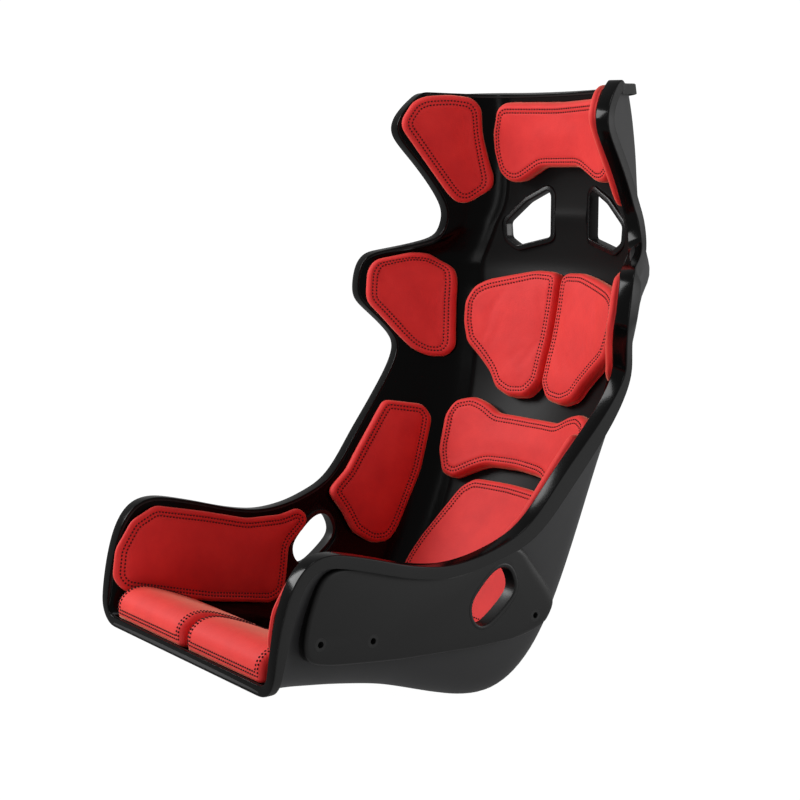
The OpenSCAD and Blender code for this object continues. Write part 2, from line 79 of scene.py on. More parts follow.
PUFF_PRESSURE = 4.0
PUFF_FRAMES = 16
PUFF_LIMIT = 3.5            # the most that the cloth moves off its start shape

# One row per cross section, top edge of the back to the front lip: crease (y, z),
# half width, corner radius, dish, top of the side wall (x, y, z), rim skirt depth
SECTIONS = np.array([
    [280, 868, 134, 34, 22, 191, 192, 872, 14], [282, 855, 136, 34, 22, 194, 181, 863, 14],
    [285, 835, 139, 34, 23, 202, 162, 842, 14], [287, 818, 141, 34, 23, 206, 154, 822, 14],
    [288, 800, 143, 34, 24, 205, 158, 803, 14], [289, 772, 146, 34, 25, 196, 187, 770, 14],
    [290, 735, 148, 36, 26, 187, 216, 731, 14], [289, 714, 152, 38, 27, 183, 230, 706, 14],
    [287, 699, 156, 38, 29, 185, 236, 690, 14], [284, 686, 161, 38, 32, 190, 235, 671, 14],
    [281, 676, 166, 38, 35, 197, 228, 657, 16], [278, 664, 173, 40, 39, 213, 211, 649, 18],
    [274, 645, 183, 42, 43, 238, 180, 641, 20], [271, 626, 193, 42, 47, 258, 152, 634, 20],
    [266, 610, 194, 42, 49, 269, 140, 623, 20], [260, 592, 186, 42, 50, 273, 133, 603, 20],
    [257, 570, 184, 42, 50, 273, 130, 579, 20], [254, 551, 183, 42, 49, 269, 131, 562, 20],
    [250, 528, 181, 42, 48, 250, 149, 538, 16], [245, 505, 180, 42, 47, 234, 167, 513, 15],
    [241, 488, 178, 42, 45, 226, 173, 493, 17], [235, 457, 174, 42, 42, 222, 159, 465, 21],
    [226, 422, 170, 42, 38, 219, 138, 437, 24], [212, 378, 166, 42, 34, 214, 110, 404, 27],
    [197, 330, 163, 42, 30, 210, 80, 370, 28], [180, 280, 161, 42, 26, 206, 52, 334, 26],
    [158, 226, 161, 42, 22, 203, 28, 311, 23], [127, 166, 163, 42, 18, 201, 6, 299, 19],
    [92, 121, 166, 42, 12, 200, -17, 291, 17], [56, 95, 168, 42, 8, 198, -42, 284, 16],
    [20, 85, 169, 42, 6, 197, -70, 280, 16], [-20, 90, 170, 42, 5, 196, -100, 279, 16],
    [-60, 102, 170, 42, 5, 195, -130, 284, 16], [-100, 116, 171, 42, 5, 196, -160, 291, 16],
    [-145, 131, 172, 42, 5, 196, -195, 302, 16], [-190, 141, 174, 42, 5, 195, -228, 311, 16],
    [-230, 149, 176, 42, 5, 195, -256, 318, 16], [-265, 155, 178, 40, 5, 195, -277, 319, 16],
    [-290, 160, 180, 36, 4, 195, -295, 314, 16], [-310, 163, 182, 32, 3, 195, -309, 303, 16],
    [-322, 165, 184, 28, 2, 195, -321, 285, 16], [-330, 166, 186, 24, 2, 195, -330, 262, 16],
    [-336, 167, 187, 20, 1, 195, -337, 235, 16], [-341, 168, 188, 16, 0.5, 195, -342, 208, 15],
    [-345, 169, 189, 12, 0, 195, -345, 184, 12]], float)
LAST = len(SECTIONS) - 1
U_MIDDLE = 0.45         # end of the dished middle of a section
U_CORNER = 0.68         # end of its corner, start of the straight wall
PAN_START = 28.0        # first station of the pan
BACK_END = 29.6         # last station of the back

# Pad outlines: wall pads in (y, z), back pads in (x, z)
HEAD_SIDE = [(192, 864), (226, 867), (254, 864), (267, 850), (272, 813), (290, 746), (288, 729),
             (262, 710), (244, 710), (231, 722), (160, 818), (160, 832), (175, 856)]
SHOULDER = [(144, 606), (154, 624), (201, 637), (226, 634), (257, 608), (257, 594), (243, 490),
            (231, 475), (208, 475), (189, 486), (141, 556), (140, 568)]
HIP = [(130, 413), (186, 405), (196, 386), (168, 307), (122, 224), (106, 208), (78, 208), (50, 227),
       (35, 260), (18, 286), (22, 296), (51, 318), (78, 352), (116, 398)]
THIGH = [(-337, 218), (-331, 258), (-308, 293), (-273, 309), (-200, 291), (-128, 271), (-70, 268),
         (-40, 274), (-24, 262), (-28, 246), (-61, 222), (-68, 190), (-78, 156), (-102, 147),
         (-200, 165), (-310, 196), (-326, 201)]
HEAD_REAR = [(0, 762), (40, 762), (82, 740), (103, 740), (122, 754), (132, 786), (133, 814), (121, 850),
             (106, 858), (0, 855), (-106, 858), (-121, 850), (-133, 814), (-132, 786), (-122, 754),
             (-103, 740), (-82, 740), (-40, 762)]
UPPER = [(3, 598), (13, 607), (50, 608), (135, 591), (156, 581), (167, 560), (164, 527), (153, 497),
         (124, 474), (102, 454), (86, 432), (58, 421), (23, 424), (3, 446)]
LUMBAR = [(0, 396), (66, 397), (92, 410), (117, 417), (148, 410), (158, 390), (153, 336), (137, 303),
          (113, 297), (81, 313), (60, 321), (0, 323), (-60, 321), (-81, 313), (-113, 297), (-137, 303),
          (-153, 336), (-158, 390), (-148, 410), (-117, 417), (-92, 410), (-66, 397)]
LOWER = [(0, 303), (72, 302), (94, 288), (136, 212), (146, 184), (146, 150), (138, 124), (118, 112),
         (0, 112), (-118, 112), (-138, 124), (-146, 150), (-146, 184), (-136, 212), (-94, 288), (-72, 302)]
HARNESS = [(-40, 35), (-34, 41), (4, 23), (41, -7), (39, -30), (20, -41), (-40, -27)]
SLOT = [(12, 260), (20, 247), (26, 228), (8, 210), (-25, 187), (-42, 193), (-50, 211), (-47, 227),
        (-18, 254), (-4, 261)]
PANEL = [(-295, 192), (-262, 183), (-162, 171), (-42, 163), (34, 162), (78, 171), (92, 190), (95, 203),
         (84, 224), (32, 288), (-20, 272), (-75, 262), (-126, 270), (-207, 294), (-250, 300), (-276, 292),
         (-294, 250), (-302, 214)]
INSERTS = [(-279, 213), (-203, 203), (59, 188)]


# ---------------------------------------------------------------- shell surface
def fine_sections(per=8, spread=0.45):
    """The sections interpolated along the seat and eased, so the glossy shell has no kinks."""
    k, n = SECTIONS, len(SECTIONS)
    pad = np.vstack([2 * k[0] - k[2], 2 * k[0] - k[1], k, 2 * k[-1] - k[-2], 2 * k[-1] - k[-3]])
    t = np.arange(-per, (n - 1) * per + per + 1) / per
    i = np.clip(np.floor(t).astype(int), -1, n - 1)
    f = (t - i)[:, None]
    p0, p1, p2, p3 = pad[i + 1], pad[i + 2], pad[np.minimum(i + 3, n + 3)], pad[np.minimum(i + 4, n + 3)]
    c = 0.5 * (2 * p1 + (p2 - p0) * f + (2 * p0 - 5 * p1 + 4 * p2 - p3) * f ** 2
               + (3 * p1 - p0 - 3 * p2 + p3) * f ** 3)
    w = np.exp(-0.5 * ((np.arange(-per, per + 1) / per) / spread) ** 2)
    w /= w.sum()
    rows = np.arange(per, len(c) - per)
    return sum(w[j + per] * c[rows + j] for j in range(-per, per + 1)), per


FINE, PER = fine_sections()


def row(t):
    """The section at station t, one row for each t."""
    x = np.clip(np.asarray(t, float), 0, LAST) * PER
    i = np.minimum(x.astype(int), len(FINE) - 2)
    f = (x - i)[..., None]
    return FINE[i] * (1 - f) + FINE[i + 1] * f


def corner_points(k):
    """The three control points of a section's corner, its top, and its wall's direction and depth."""
    cy, cz, c, r, dish, rx, ry, rz = [k[..., j] for j in range(8)]
    depth = np.hypot(ry - cy, rz - cz)
    p0 = np.stack([c - r, -dish * (1 - ((c - r) / c) ** 2)], -1)
    p1 = np.stack([c, -dish * (r / c) ** 2], -1)
    e = np.stack([rx, depth], -1) - p1
    length = np.linalg.norm(e, axis=-1)
    e = e / length[..., None]
    p2 = p1 + e * np.minimum(r, 0.6 * length)[..., None]
    return p0, p1, p2, np.stack([rx, depth], -1), e, depth


def in_plane(k, u):
    """Section point (x, distance up the wall) for u from 0 at the centre to 1 at the top."""
    p0, p1, p2, top, _, _ = corner_points(k)
    x = (k[..., 2] - k[..., 3]) * np.minimum(u, U_MIDDLE) / U_MIDDLE
    mid = np.stack([x, -k[..., 4] * (1 - (x / k[..., 2]) ** 2)], -1)
    s = np.clip((u - U_MIDDLE) / (U_CORNER - U_MIDDLE), 0, 1)[..., None]
    bend = p0 * (1 - s) ** 2 + p1 * 2 * s * (1 - s) + p2 * s ** 2
    w = np.clip((u - U_CORNER) / (1 - U_CORNER), 0, 1)[..., None]
    wall = p2 * (1 - w) + top * w
    return np.where(u[..., None] <= U_MIDDLE, mid, np.where(u[..., None] <= U_CORNER, bend, wall))


def surface(t, u):
    """Point of the shell's inner surface, in row-frame millimetres."""
    t, u = np.broadcast_arrays(np.asarray(t, float), np.asarray(u, float))
    k = row(t)
    p = in_plane(k, np.abs(u))
    depth = np.hypot(k[..., 6] - k[..., 0], k[..., 7] - k[..., 1])
    y = k[..., 0] + (k[..., 6] - k[..., 0]) / depth * p[..., 1]
    z = k[..., 1] + (k[..., 7] - k[..., 1]) / depth * p[..., 1]
    return np.stack([np.sign(u) * p[..., 0], y + PLAN_SHIFT, z - BASE_LEVEL], -1)


def unit(v):
    return v / np.maximum(np.linalg.norm(v, axis=-1, keepdims=True), 1e-9)


def normal(t, u):
    """Outward normal, away from the occupant."""
    t, u = np.broadcast_arrays(np.asarray(t, float), np.asarray(u, float))
    a, du, dt = np.abs(u), 0.03, 0.6
    lo = surface(t, np.maximum(a - du, 1e-6))
    under = surface(t, np.maximum(du - a, 1e-6))
    under = under * np.array([-1, 1, 1])
    lo = np.where((a < du)[..., None], under, lo)
    across = surface(t, np.minimum(a + du, 1)) - lo
    along = surface(np.minimum(t + dt, LAST), a + 1e-6) - surface(np.maximum(t - dt, 0), a + 1e-6)
    n = unit(np.cross(across, along))
    return n * np.stack([np.where(u < 0, -1, 1), np.ones_like(u), np.ones_like(u)], -1)


def u_of_x(k, x):
    """The u of the section point x to the side of the centre, up to the end of the corner."""
    p0, p1, p2, _, _, _ = corner_points(k)
    a, b = p0[..., 0] - 2 * p1[..., 0] + p2[..., 0], 2 * (p1[..., 0] - p0[..., 0])
    c = p0[..., 0] - np.minimum(x, p2[..., 0] - 0.001)
    flat = np.abs(a) < 1e-4
    s = np.where(flat, -c / b, (-b + np.sqrt(np.maximum(0, b * b - 4 * a * c))) / (2 * np.where(flat, 1, a)))
    inner = U_MIDDLE * x / (k[..., 2] - k[..., 3])
    return np.where(x <= k[..., 2] - k[..., 3], inner, U_MIDDLE + (U_CORNER - U_MIDDLE) * s)


def u_of_v(k, v):
    """The u of the section point v up the side."""
    p0, p1, p2, _, _, depth = corner_points(k)
    low = U_MIDDLE * k[..., 2] * np.sqrt(np.maximum(0, 1 + v / k[..., 4])) / (k[..., 2] - k[..., 3])
    a, b = p0[..., 1] - 2 * p1[..., 1] + p2[..., 1], 2 * (p1[..., 1] - p0[..., 1])
    c = p0[..., 1] - v
    flat = np.abs(a) < 1e-4
    s = np.where(flat, -c / b, (-b + np.sqrt(np.maximum(0, b * b - 4 * a * c))) / (2 * np.where(flat, 1, a)))
    bend = U_MIDDLE + (U_CORNER - U_MIDDLE) * s
    high = U_CORNER + (1 - U_CORNER) * (v - p2[..., 1]) / (depth - p2[..., 1])
    return np.where(v <= p0[..., 1], low, np.where(v < p2[..., 1], bend, high))


def locate(kind, q):
    """Station and u for outline points q: "back" reads (x, z), "pan" (x, y), "wall" (y, z)."""
    q = np.asarray(q, float)
    lo = np.full(len(q), PAN_START if kind == "pan" else 0.0)
    hi = np.full(len(q), BACK_END if kind == "back" else float(LAST))
    for _ in range(18):
        m = (lo + hi) / 2
        k = row(m)
        if kind == "wall":
            g = (k[:, 6] - k[:, 0]) * (q[:, 1] - k[:, 1]) - (k[:, 7] - k[:, 1]) * (q[:, 0] - k[:, 0])
        else:
            s = surface(m, u_of_x(k, np.abs(q[:, 0])) + 1e-9)
            g = s[:, 2] + BASE_LEVEL - q[:, 1] if kind == "back" else s[:, 1] - PLAN_SHIFT - q[:, 1]
        lo, hi = np.where(g > 0, m, lo), np.where(g > 0, hi, m)
    t = (lo + hi) / 2
    k = row(t)
    if kind == "wall":
        depth = np.hypot(k[:, 6] - k[:, 0], k[:, 7] - k[:, 1])
        v = ((q[:, 0] - k[:, 0]) * (k[:, 6] - k[:, 0]) + (q[:, 1] - k[:, 1]) * (k[:, 7] - k[:, 1])) / depth
        return t, np.minimum(u_of_v(k, v), 1.0)
    return t, np.where(q[:, 0] < 0, -1, 1) * (u_of_x(k, np.abs(q[:, 0])) + 1e-9)


# ---------------------------------------------------------------- rim frames
def flange_direction(k):
    """The flange stands out mostly sideways, leaning a little with the wall."""
    _, _, _, _, e, depth = corner_points(k)
    return unit(np.stack([1 + 0.45 * e[..., 1], -0.45 * e[..., 0] * (k[..., 6] - k[..., 0]) / depth,
                          -0.45 * e[..., 0] * (k[..., 7] - k[..., 1]) / depth], -1))


def edge_frame(t):
    """Top edge of the left wall: point, flange direction square to the edge, direction down the wall."""
    t = np.asarray(t, float)
    p = surface(t, np.ones_like(t))
    tangent = unit(surface(np.minimum(t + 0.4, LAST), np.ones_like(t))
                   - surface(np.maximum(t - 0.4, 0), np.ones_like(t)))
    out = flange_direction(row(t))
    out = unit(out - tangent * np.sum(out * tangent, -1, keepdims=True))
    return p, out, unit(np.cross(out, tangent))


def skin_points(t, u, h, cut):
    """Point h outside the inner surface, with the top of the wall moved down under the flange."""
    t, u = np.broadcast_arrays(np.asarray(t, float), np.asarray(u, float))
    p = surface(t, np.where(u == 0, 1e-6, u)) + normal(t, u) * h
    _, _, down = edge_frame(t)
    share = np.clip((np.abs(u) - U_CORNER) / (1 - U_CORNER), 0, 1)[..., None]
    down = down * np.stack([np.where(u < 0, -1, 1), np.ones_like(u), np.ones_like(u)], -1)
    near_top = np.clip(t / 1.5, 0, 1)[..., None]
    return p + down * cut * share * near_top


# ---------------------------------------------------------------- mesh helpers
def make(name, points, faces, smooth=True, sharp=40):
    """A mesh object from millimetre points."""
    mesh = bpy.data.meshes.new(name)
    mesh.from_pydata((np.asarray(points, float) * MM).tolist(), [], [list(map(int, f)) for f in faces])
    mesh.validate()
    obj = bpy.data.objects.new(name, mesh)
    bpy.context.scene.collection.objects.link(obj)
    if smooth:
        mesh.shade_smooth()
        if sharp:
            mesh.set_sharp_from_angle(angle=math.radians(sharp))
    return obj


def mark_points(obj, name, values):
    """A number on each point of a mesh, which a material reads."""
    obj.data.attributes.new(name, "FLOAT", "POINT").data.foreach_set("value", np.asarray(values, np.float32))


def grid_solid(rings_a, rings_b):
    """Faces of a closed skin between two point grids of the same shape."""
    n, m = rings_a.shape[:2]
    a = np.arange(n * m).reshape(n, m)
    b = a + n * m
    faces = []
    for i in range(n - 1):
        for j in range(m - 1):
            faces.append((a[i, j], a[i, j + 1], a[i + 1, j + 1], a[i + 1, j]))
            faces.append((b[i, j], b[i + 1, j], b[i + 1, j + 1], b[i, j + 1]))
    for i in range(n - 1):
        faces.append((a[i, 0], a[i + 1, 0], b[i + 1, 0], b[i, 0]))
        faces.append((a[i, -1], b[i, -1], b[i + 1, -1], a[i + 1, -1]))
    for j in range(m - 1):
        faces.append((a[0, j], b[0, j], b[0, j + 1], a[0, j + 1]))
        faces.append((a[-1, j], a[-1, j + 1], b[-1, j + 1], b[-1, j]))
    return np.vstack([rings_a.reshape(-1, 3), rings_b.reshape(-1, 3)]), faces


def tube_faces(n, m, closed_path=True):
    """Quads of n rings of m points; the rings close on themselves."""
    faces = []
    for i in range(n if closed_path else n - 1):
        for j in range(m):
            faces.append((i * m + j, i * m + (j + 1) % m, (i + 1) % n * m + (j + 1) % m, (i + 1) % n * m + j))
    return faces


def rounded(poly, cut, seg=5):
    """The outline with each corner replaced by a curve that starts cut mm from it."""
    p = np.asarray(poly, float)
    out = []
    for i in range(len(p)):
        a, b, c = p[i - 1], p[i], p[(i + 1) % len(p)]
        s = b + (a - b) * min(0.45, cut / np.linalg.norm(a - b))
        e = b + (c - b) * min(0.45, cut / np.linalg.norm(c - b))
        for f in np.linspace(0, 1, seg):
            out.append(s * (1 - f) ** 2 + b * 2 * f * (1 - f) + e * f * f)
    return np.array(out)


def run_length(p):
    """Distance of each point of a polyline from its start."""
    return np.concatenate([[0], np.cumsum(np.linalg.norm(np.diff(p, axis=0), axis=1))])


def resample(p, step):
    """Points evenly spaced round a closed polyline, about step apart."""
    q = np.vstack([p, p[:1]])
    s = run_length(q)
    n = max(8, int(round(s[-1] / step)))
    at = np.linspace(0, s[-1], n, endpoint=False)
    return np.stack([np.interp(at, s, q[:, j]) for j in range(q.shape[1])], 1)


def ccw(p):
    x, y = p[:, 0], p[:, 1]
    return p if np.sum(x * np.roll(y, -1) - np.roll(x, -1) * y) > 0 else p[::-1]


def distance_to(p, loop):
    """Distance of each point p from a closed loop."""
    a, b = loop, np.roll(loop, -1, axis=0)
    d = b - a
    s = np.clip(np.einsum("ijk,jk->ij", p[:, None] - a[None], d) / np.sum(d * d, -1)[None], 0, 1)
    near = a[None] + s[..., None] * d[None]
    return np.min(np.linalg.norm(p[:, None] - near, axis=-1), axis=1)


def inside(p, loop):
    a, b = loop, np.roll(loop, -1, axis=0)
    x, y = p[:, 0][:, None], p[:, 1][:, None]
    cross = (a[:, 1] > y) != (b[:, 1] > y)
    dy = np.where(b[:, 1] == a[:, 1], 1, b[:, 1] - a[:, 1])
    hit = x < (b[:, 0] - a[:, 0]) * (y - a[:, 1]) / dy + a[:, 0]
    return np.sum(cross & hit, axis=1) % 2 == 1


def inset(loop, d, step=4.0):
    """The loop moved inward by d, cleaned at tight corners."""
    t = unit(np.roll(loop, -1, axis=0) - np.roll(loop, 1, axis=0))
    n = np.stack([-t[:, 1], t[:, 0]], 1)
    p = loop + n * d
    if d > 0:
        p = p[(distance_to(p, loop) > d - 0.12) & inside(p, loop)]
    return resample(p, step)


def ease(a, sigma):
    """Gaussian smoothing round a closed path; sigma in samples."""
    half = int(3 * sigma)
    w = np.exp(-0.5 * (np.arange(-half, half + 1) / sigma) ** 2)
    w /= w.sum()
    return sum(w[j + half] * np.roll(a, -j, axis=0) for j in range(-half, half + 1))


def push_out(loop, d):
    """The loop moved outward by d, point for point (inward when d is negative)."""
    t = unit(np.roll(loop, -1, axis=0) - np.roll(loop, 1, axis=0))
    return loop - np.stack([-t[:, 1], t[:, 0]], 1) * d


def carve(obj, *cutters):
    """Takes the cutters away from obj for good."""
    for c in cutters:
        m = obj.modifiers.new("cut", "BOOLEAN")
        m.operation, m.solver, m.object = "DIFFERENCE", "EXACT", c
    dg = bpy.context.evaluated_depsgraph_get()
    mesh = bpy.data.meshes.new_from_object(obj.evaluated_get(dg))
    obj.modifiers.clear()
    obj.data = mesh
    mesh.shade_smooth()
    mesh.set_sharp_from_angle(angle=math.radians(35))
    return obj


def prism(name, outline, place, lo, hi):
    """A straight prism on a closed outline; place turns (a, b, height) into row-frame points."""
    n = len(outline)
    low = place(np.column_stack([outline, np.full(n, lo)]))
    high = place(np.column_stack([outline, np.full(n, hi)]))
    faces = [tuple(range(n))[::-1], tuple(n + i for i in range(n))]
    faces += [(i, (i + 1) % n, n + (i + 1) % n, n + i) for i in range(n)]
    obj = make(name, np.vstack([low, high]), faces, smooth=False)
    fix_normals(obj)
    return obj


def fix_normals(obj):
    bm = bmesh.new()
    bm.from_mesh(obj.data)
    bmesh.ops.recalc_face_normals(bm, faces=bm.faces)
    bm.to_mesh(obj.data)
    bm.free()


def side_view(side):
    """(y, z, x) to row-frame points on one side of the seat."""
    return lambda p: np.stack([side * p[:, 2], p[:, 0] + PLAN_SHIFT, p[:, 1] - BASE_LEVEL], 1)


def harness_view(side):
    """(a, b, height) of a harness opening to row-frame points; height is towards the occupant."""
    yaw = math.radians(-10.9)

    def place(p):
        x, y, z = p[:, 0], -p[:, 2], p[:, 1]
        xr, yr = x * math.cos(yaw) - y * math.sin(yaw), x * math.sin(yaw) + y * math.cos(yaw)
        return np.stack([side * (xr + 80), yr + 308 + PLAN_SHIFT, z + 687 - BASE_LEVEL], 1)
    return place


def crotch_view(p):
    tilt = math.radians(-13)
    y, z = p[:, 1], p[:, 2]
    return np.stack([p[:, 0], y * math.cos(tilt) - z * math.sin(tilt) - 150 + PLAN_SHIFT,
                     y * math.sin(tilt) + z * math.cos(tilt) + 127.2 - BASE_LEVEL], 1)


def stadium(length, width, seg=16):
    a = np.linspace(-math.pi / 2, math.pi / 2, seg)
    right = np.stack([(length - width) / 2 + width / 2 * np.cos(a), width / 2 * np.sin(a)], 1)
    return np.vstack([right, -right])


# ---------------------------------------------------------------- materials
def nodes_of(name):
    m = bpy.data.materials.new(name)
    m.use_nodes = True
    n, l = m.node_tree.nodes, m.node_tree.links
    return m, n, l, n["Principled BSDF"]


def noise(n, l, scale, detail=3, rough=0.5):
    t = n.new("ShaderNodeTexNoise")
    t.inputs["Scale"].default_value = scale
    t.inputs["Detail"].default_value = detail
    t.inputs["Roughness"].default_value = rough
    c = n.new("ShaderNodeTexCoord")
    l.new(c.outputs["Object"], t.inputs["Vector"])
    return t


def ramp(n, l, source, stops):
    r = n.new("ShaderNodeValToRGB")
    r.color_ramp.elements[0].position, r.color_ramp.elements[0].color = stops[0][0], (*stops[0][1], 1)
    r.color_ramp.elements[1].position, r.color_ramp.elements[1].color = stops[-1][0], (*stops[-1][1], 1)
    for at, colour in stops[1:-1]:
        e = r.color_ramp.elements.new(at)
        e.color = (*colour, 1)
    l.new(source, r.inputs["Fac"])
    return r


def bump(n, l, height, strength, distance, onto):
    """A bump node that feeds the normal socket onto; a second one can be chained into it."""
    b = n.new("ShaderNodeBump")
    b.inputs["Strength"].default_value = strength
    b.inputs["Distance"].default_value = distance
    l.new(height, b.inputs["Height"])
    l.new(b.outputs["Normal"], onto)
    return b


def two_bumps(n, l, shader, fine, coarse):
    """Fine and coarse unevenness, each (height, strength, distance), on one shader."""
    second = bump(n, l, *coarse, shader.inputs["Normal"])
    bump(n, l, *fine, second.inputs["Normal"])


def leather():
    m, n, l, b = nodes_of("red_leather")
    patch = noise(n, l, 26, 4, 0.55)
    shade = ramp(n, l, patch.outputs["Fac"], [(0.30, (0.62, 0.006, 0.007)), (0.52, (0.67, 0.009, 0.009)),
                                              (0.74, (0.72, 0.014, 0.012))])
    l.new(shade.outputs["Color"], b.inputs["Base Color"])
    b.inputs["Roughness"].default_value = 0.68
    b.inputs["Specular IOR Level"].default_value = 0.48
    b.inputs["Sheen Weight"].default_value = 0.36
    b.inputs["Sheen Roughness"].default_value = 0.4
    b.inputs["Sheen Tint"].default_value = (1.0, 0.78, 0.52, 1)
    grain = n.new("ShaderNodeTexVoronoi")
    grain.inputs["Scale"].default_value = 620
    c = n.new("ShaderNodeTexCoord")
    l.new(c.outputs["Object"], grain.inputs["Vector"])
    soft = noise(n, l, 60, 3, 0.6)
    two_bumps(n, l, b, (grain.outputs["Distance"], 0.22, 0.0006), (soft.outputs["Fac"], 0.10, 0.004))
    return m


def thread():
    m, n, l, b = nodes_of("dark_thread")
    twist = noise(n, l, 900, 2)
    shade = ramp(n, l, twist.outputs["Fac"], [(0.35, (0.012, 0.002, 0.003)), (0.7, (0.035, 0.005, 0.007))])
    l.new(shade.outputs["Color"], b.inputs["Base Color"])
    b.inputs["Roughness"].default_value = 0.7
    b.inputs["Specular IOR Level"].default_value = 0.25
    bump(n, l, twist.outputs["Fac"], 0.4, 0.0004, b.inputs["Normal"])
    return m


def gloss_black(name, base, rough, wave, shine):
    """Moulded black laminate: soft unevenness in the gloss and very fine dust of grain."""
    m, n, l, b = nodes_of(name)
    b.inputs["Base Color"].default_value = (base, base, base * 1.05, 1)
    vary = noise(n, l, 9, 3, 0.5)
    rg = ramp(n, l, vary.outputs["Fac"], [(0.3, (rough * 0.85,) * 3), (0.75, (rough * 1.2,) * 3)])
    l.new(rg.outputs["Color"], b.inputs["Roughness"])
    b.inputs["Specular IOR Level"].default_value = shine
    fine = noise(n, l, 420, 2, 0.5)
    slow = noise(n, l, 14, 2, 0.5)
    two_bumps(n, l, b, (fine.outputs["Fac"], wave, 0.0003), (slow.outputs["Fac"], wave * 0.5, 0.002))
    return m


def two_finish_black(name, attribute, first_look, second_look, shine):
    """Moulded black with two finishes, each (base, roughness), told apart by a mark on the mesh."""
    m, n, l, b = nodes_of(name)
    mark = n.new("ShaderNodeAttribute")
    mark.attribute_name = attribute
    shade = ramp(n, l, mark.outputs["Fac"], [(0.0, (first_look[0],) * 3), (1.0, (second_look[0],) * 3)])
    rough = ramp(n, l, mark.outputs["Fac"], [(0.0, (first_look[1],) * 3), (1.0, (second_look[1],) * 3)])
    l.new(shade.outputs["Color"], b.inputs["Base Color"])
    l.new(rough.outputs["Color"], b.inputs["Roughness"])
    b.inputs["Specular IOR Level"].default_value = shine
    fine = noise(n, l, 500, 2, 0.5)
    slow = noise(n, l, 12, 2, 0.5)
    two_bumps(n, l, b, (fine.outputs["Fac"], 0.05, 0.0003), (slow.outputs["Fac"], 0.04, 0.002))
    return m


def fabric(name, base, scale):
    m, n, l, b = nodes_of(name)
    weave = n.new("ShaderNodeTexVoronoi")
    weave.inputs["Scale"].default_value = scale
    c = n.new("ShaderNodeTexCoord")
    l.new(c.outputs["Object"], weave.inputs["Vector"])
    shade = ramp(n, l, weave.outputs["Distance"], [(0.1, (base * 1.8,) * 3), (0.7, (base * 0.6,) * 3)])
    l.new(shade.outputs["Color"], b.inputs["Base Color"])
    b.inputs["Roughness"].default_value = 0.9
    b.inputs["Sheen Weight"].default_value = 0.2
    bump(n, l, weave.outputs["Distance"], 0.7, 0.0008, b.inputs["Normal"])
    return m


def dark_steel():
    m, n, l, b = nodes_of("blackened_steel")
    vary = noise(n, l, 180, 3)
    shade = ramp(n, l, vary.outputs["Fac"], [(0.3, (0.012,) * 3), (0.7, (0.018,) * 3)])
    l.new(shade.outputs["Color"], b.inputs["Base Color"])
    b.inputs["Metallic"].default_value = 0.2
    b.inputs["Roughness"].default_value = 0.46
    bump(n, l, vary.outputs["Fac"], 0.15, 0.0004, b.inputs["Normal"])
    return m


LEATHER = leather()
THREAD = thread()
INNER = two_finish_black("inner_laminate", "wall", (0.0045, 0.40), (0.0006, 0.22), 0.11)
OUTER = gloss_black("outer_laminate", 0.018, 0.50, 0.12, 0.5)
RIM = two_finish_black("rim_gloss", "skirt", (0.002, 0.14), (0.022, 0.45), 0.13)
# Satin panel finish; the points marked "edge" get a near-black base: painted shade on the panel's side walls,
# where a groove would be shaded, and inside the lap slot's bore.
PANEL_BLACK = two_finish_black("panel_satin_painted_shade", "edge", (0.010, 0.46), (0.0008, 0.4), 0.35)
TRIM = gloss_black("trim_gloss", 0.004, 0.26, 0.03, 0.25)
HOOK = fabric("hook_strip", 0.010, 900)
LOOP = fabric("loop_fabric", 0.014, 1400)
STEEL = dark_steel()


def finish_piece(obj, material, slot, *nodes):
    obj.data.materials.clear()
    obj.data.materials.append(material)
    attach(obj, "root")
    if nodes:
        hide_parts(*nodes)


# ---------------------------------------------------------------- shells
def columns():
    u = np.concatenate([np.linspace(0, U_MIDDLE, 17), CREASE_AT + CREASE_WIDTH * np.linspace(0, 1, 7),
                        np.linspace(0.5, U_CORNER, 11), np.linspace(U_CORNER, 1, 10)[1:]])
    return np.concatenate([-u[:0:-1], u])


def crease(t, u):
    """Height of the side bolsters over the back panel: a soft step along their joint."""
    s = np.clip((np.abs(u) - CREASE_AT) / CREASE_WIDTH, 0, 1)
    along = np.clip((27.5 - t) / 3, 0, 1) * np.clip((t - 1) / 3, 0, 1)
    return BOLSTER_STEP * s * s * (3 - 2 * s) * along


def stations():
    """Stations for the shell meshes, closer together where the back turns into the pan."""
    return np.concatenate([[0.4], np.arange(0.5, 21.9, 0.5), np.arange(22, 34.9, 0.25),
                           np.arange(35, LAST - 0.2, 0.5), [LAST - 0.4]])


def shell(name, h0, h1, cut):
    t = stations()
    u = columns()
    tt, uu = np.meshgrid(t, u, indexing="ij")
    a = skin_points(tt, uu, h0, cut)
    if h0 == 0:
        a = a - normal(tt, uu) * crease(tt, uu)[..., None]
    b = skin_points(tt, uu, h1, cut)
    points, faces = grid_solid(a, b)
    obj = make(name, points, faces)
    fix_normals(obj)
    share = np.clip((np.abs(uu) - CREASE_AT) / CREASE_WIDTH, 0, 1).reshape(-1)
    mark_points(obj, "wall", np.concatenate([share, share]))
    return obj


def slot_outline():
    return ccw(ease(resample(rounded(SLOT, 24), 2.5), 2.2))


def harness_outline():
    return ccw(resample(rounded(HARNESS, 4.5, 4), 1.6))


def opening_cutters():
    cut = []
    harness = harness_outline()
    for side in (1, -1):
        cut.append(prism("cut_h", push_out(harness, HARNESS_HOLE), harness_view(side), -40, 40))
        cut.append(prism("cut_s", push_out(slot_outline(), SLOT_HOLE), side_view(side), 120, 240))
    cut.append(prism("cut_c", push_out(stadium(94, 44), CROTCH_HOLE), crotch_view, -50, 50))
    return cut


